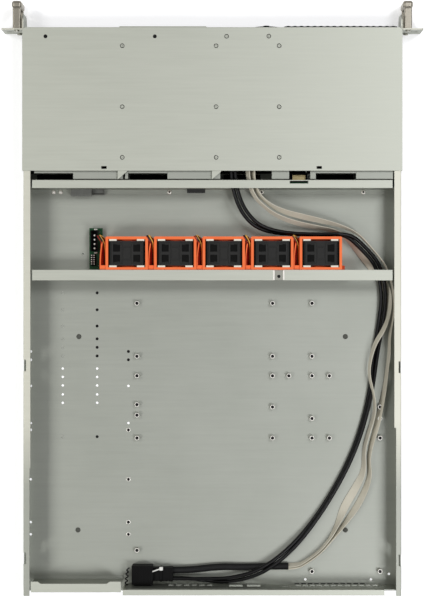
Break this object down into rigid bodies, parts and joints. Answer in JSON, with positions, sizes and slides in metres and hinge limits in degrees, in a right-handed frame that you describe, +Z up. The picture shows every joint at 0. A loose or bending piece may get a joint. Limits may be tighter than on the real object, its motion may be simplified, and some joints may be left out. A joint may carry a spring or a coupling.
{
  "type": "rackmount server case",
  "caption": "Empty low rackmount server case with a fixed front cover, pull-out drive trays, rack ears with handles, a row of cooling fans, a backplane and loose internal cables.",
  "frame": {"origin": "middle of the underside of the whole case, halfway between the handles' front and the rear edge", "axes": "+X to the right seen from the front, +Y towards the rear, +Z up"},
  "size_m": [0.4826, 0.681, 0.0432],
  "materials": {
    "zinc_steel": "satin zinc plate",
    "bright_tin": "thin bright sheet",
    "standoff_steel": "satin",
    "cast_handle": "satin",
    "black_plastic": "matt",
    "button_plastic": "matt",
    "circuit_board": "satin",
    "tray_plastic": "matt",
    "lever_plastic": "matt",
    "orange_rubber": "matt",
    "fan_plastic": "matt",
    "rotor_plastic": "satin",
    "white_pad": "matt",
    "fan_lead": "matt",
    "cable_black": "satin",
    "ribbon_grey": "matt"
  },
  "bodies": {
    "case": {"base_tray": "zinc_steel", "rear_panel": "zinc_steel", "psu_bay_blank": "zinc_steel", "front_cover": "zinc_steel", "front_panel": "zinc_steel", "ear_left": "zinc_steel", "ear_right": "zinc_steel", "bay_divider_1": "zinc_steel", "bay_divider_2": "zinc_steel", "bay_divider_3": "zinc_steel", "media_shelf": "zinc_steel", "backplane_brace": "zinc_steel", "fan_wall": "zinc_steel", "io_shield": "bright_tin", "slot_cover": "bright_tin", "board_standoffs": "standoff_steel", "handle_left": "cast_handle", "handle_right": "cast_handle", "media_bay_bezel": "black_plastic", "control_panel": "black_plastic", "harness_plug": "black_plastic", "fan_board_connectors": "black_plastic", "backplane_headers": "black_plastic", "drive_connectors": "black_plastic", "backplane_board": "circuit_board", "fan_board": "circuit_board", "fan_holder_1": "orange_rubber", "fan_holder_2": "orange_rubber", "fan_holder_3": "orange_rubber", "fan_holder_4": "orange_rubber", "fan_holder_5": "orange_rubber", "fan_housing_1": "fan_plastic", "fan_housing_2": "fan_plastic", "fan_housing_3": "fan_plastic", "fan_housing_4": "fan_plastic", "fan_housing_5": "fan_plastic", "fan_pads": "white_pad", "fan_leads": "fan_lead", "cable_black_a": "cable_black", "cable_black_b": "cable_black", "cable_sleeve": "cable_black", "ribbon_a": "ribbon_grey", "ribbon_b": "ribbon_grey"},
    "tray_1": {"drive_tray_1": "tray_plastic"},
    "tray_2": {"drive_tray_2": "tray_plastic"},
    "tray_3": {"drive_tray_3": "tray_plastic"},
    "tray_4": {"drive_tray_4": "tray_plastic"},
    "lever_1": {"tray_lever_1": "lever_plastic"},
    "lever_2": {"tray_lever_2": "lever_plastic"},
    "lever_3": {"tray_lever_3": "lever_plastic"},
    "lever_4": {"tray_lever_4": "lever_plastic"},
    "fan_1": {"fan_rotor_1": "rotor_plastic"},
    "fan_2": {"fan_rotor_2": "rotor_plastic"},
    "fan_3": {"fan_rotor_3": "rotor_plastic"},
    "fan_4": {"fan_rotor_4": "rotor_plastic"},
    "fan_5": {"fan_rotor_5": "rotor_plastic"},
    "power_button": {"power_button": "button_plastic"},
    "reset_button": {"reset_button": "button_plastic"}
  },
  "joints": [
    {"name": "tray_slide_1", "type": "slide", "parent": "case", "child": "tray_1", "axis": [0, -1, 0], "range_m": [0, 0.15]},
    {"name": "tray_slide_2", "type": "slide", "parent": "case", "child": "tray_2", "axis": [0, -1, 0], "range_m": [0, 0.15]},
    {"name": "tray_slide_3", "type": "slide", "parent": "case", "child": "tray_3", "axis": [0, -1, 0], "range_m": [0, 0.15]},
    {"name": "tray_slide_4", "type": "slide", "parent": "case", "child": "tray_4", "axis": [0, -1, 0], "range_m": [0, 0.15]},
    {"name": "lever_hinge_1", "type": "hinge", "parent": "tray_1", "child": "lever_1", "pos_m": [-0.11415, -0.3067, 0.0146], "axis": [0, 0, 1], "range_deg": [0, 80]},
    {"name": "lever_hinge_2", "type": "hinge", "parent": "tray_2", "child": "lever_2", "pos_m": [-0.0064, -0.3067, 0.0146], "axis": [0, 0, 1], "range_deg": [0, 80]},
    {"name": "lever_hinge_3", "type": "hinge", "parent": "tray_3", "child": "lever_3", "pos_m": [0.10135, -0.3067, 0.0146], "axis": [0, 0, 1], "range_deg": [0, 80]},
    {"name": "lever_hinge_4", "type": "hinge", "parent": "tray_4", "child": "lever_4", "pos_m": [0.2091, -0.3067, 0.0146], "axis": [0, 0, 1], "range_deg": [0, 80]},
    {"name": "fan_spin_1", "type": "hinge", "parent": "case", "child": "fan_1", "pos_m": [-0.1241, -0.05135, 0.0216], "axis": [0, 1, 0], "continuous": true},
    {"name": "fan_spin_2", "type": "hinge", "parent": "case", "child": "fan_2", "pos_m": [-0.0686, -0.05135, 0.0216], "axis": [0, 1, 0], "continuous": true},
    {"name": "fan_spin_3", "type": "hinge", "parent": "case", "child": "fan_3", "pos_m": [-0.0131, -0.05135, 0.0216], "axis": [0, 1, 0], "continuous": true},
    {"name": "fan_spin_4", "type": "hinge", "parent": "case", "child": "fan_4", "pos_m": [0.0424, -0.05135, 0.0216], "axis": [0, 1, 0], "continuous": true},
    {"name": "fan_spin_5", "type": "hinge", "parent": "case", "child": "fan_5", "pos_m": [0.0979, -0.05135, 0.0216], "axis": [0, 1, 0], "continuous": true},
    {"name": "power_press", "type": "slide", "parent": "case", "child": "power_button", "axis": [0, 1, 0], "range_m": [0, 0.0012], "stiffness_N_per_m": 400},
    {"name": "reset_press", "type": "slide", "parent": "case", "child": "reset_button", "axis": [0, 1, 0], "range_m": [0, 0.0012], "stiffness_N_per_m": 400}
  ]
}
